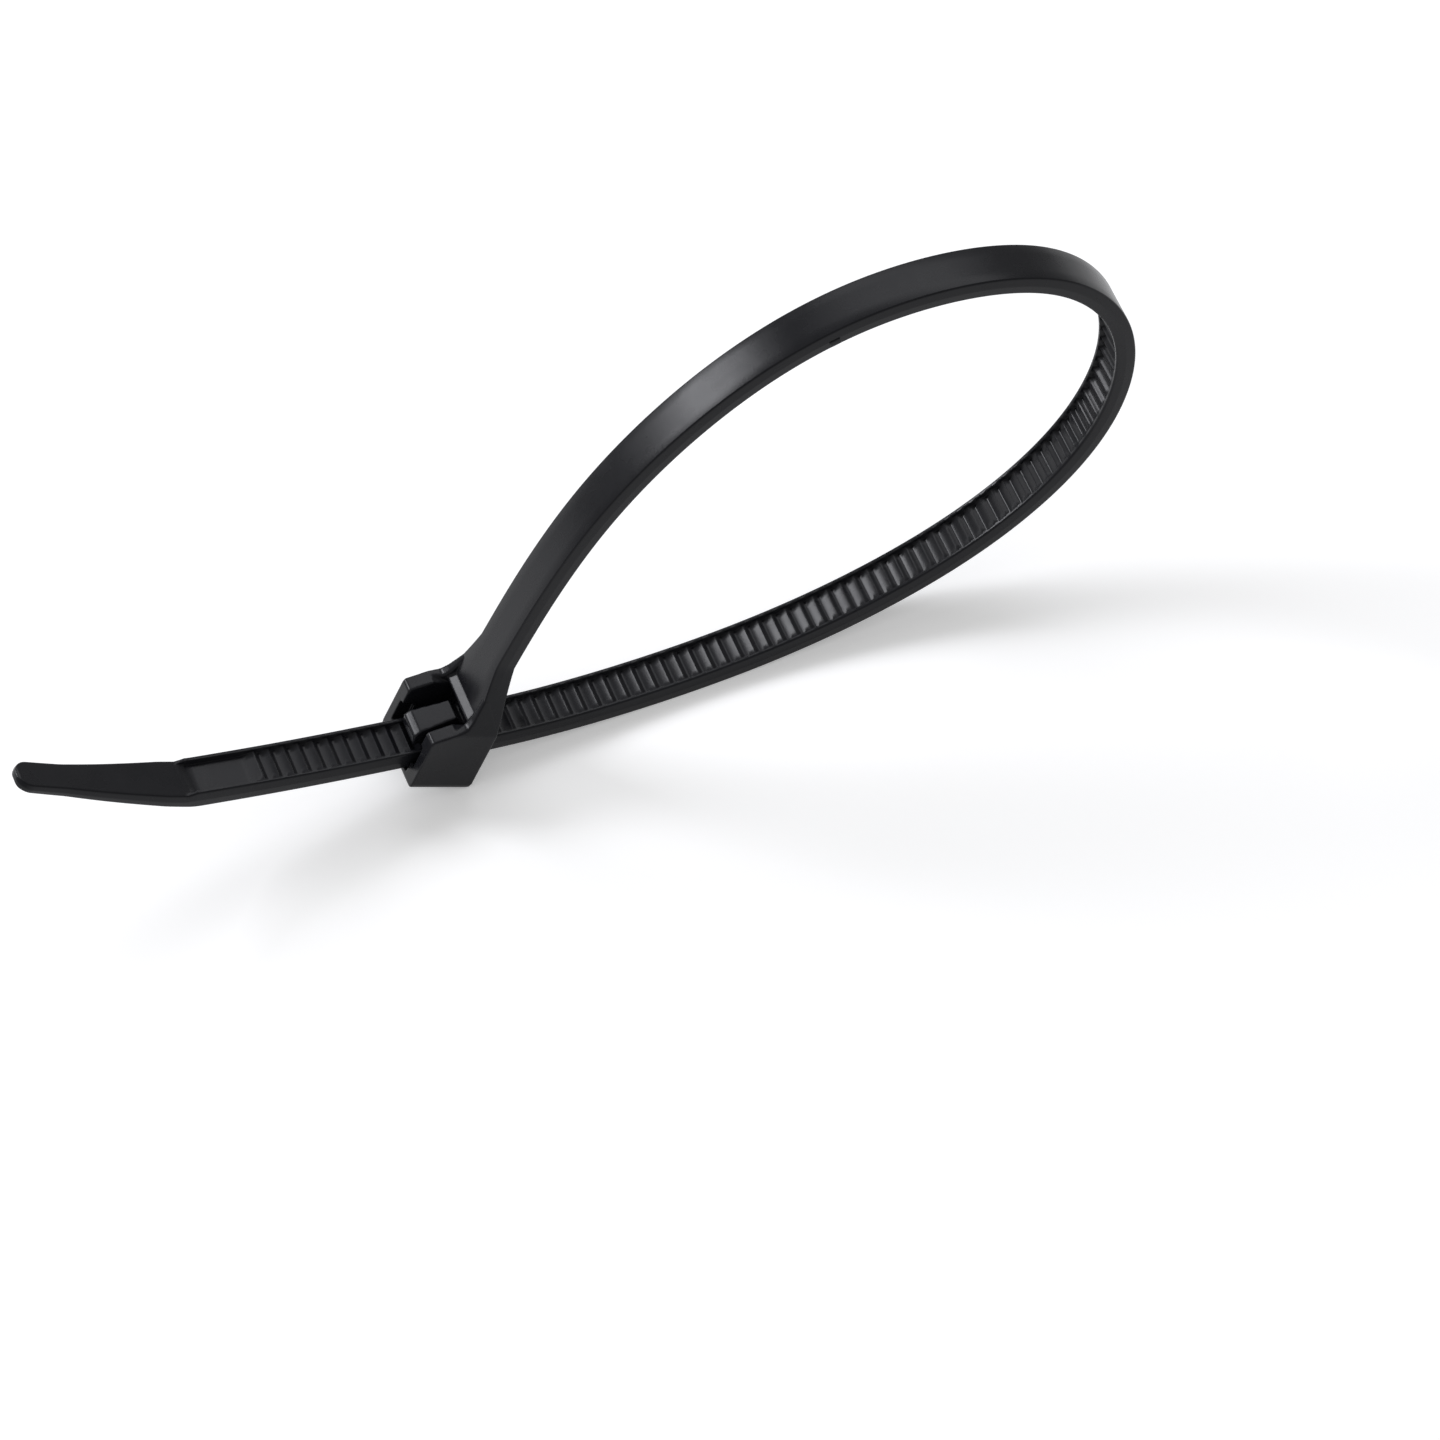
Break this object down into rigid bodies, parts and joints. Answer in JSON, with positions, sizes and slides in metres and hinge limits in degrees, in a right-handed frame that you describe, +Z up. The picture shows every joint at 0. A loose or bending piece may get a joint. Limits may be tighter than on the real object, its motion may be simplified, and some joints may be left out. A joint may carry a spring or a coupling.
{
  "type": "cable tie",
  "caption": "Slim moulded nylon cable tie closed into a teardrop loop: toothed strap passed through its box head, pawl over the teeth, thin upturned tail.",
  "frame": {"origin": "middle of the object's length and width, on the surface it stands on", "axes": "+X along the loop from the tail to its far end, +Z up, Y across the width of the strap"},
  "size_m": [0.0603, 0.0046, 0.0245],
  "materials": {
    "nylon": "satin moulded black nylon"
  },
  "bodies": {
    "root": {"cable_tie": "nylon"}
  },
  "joints": []
}
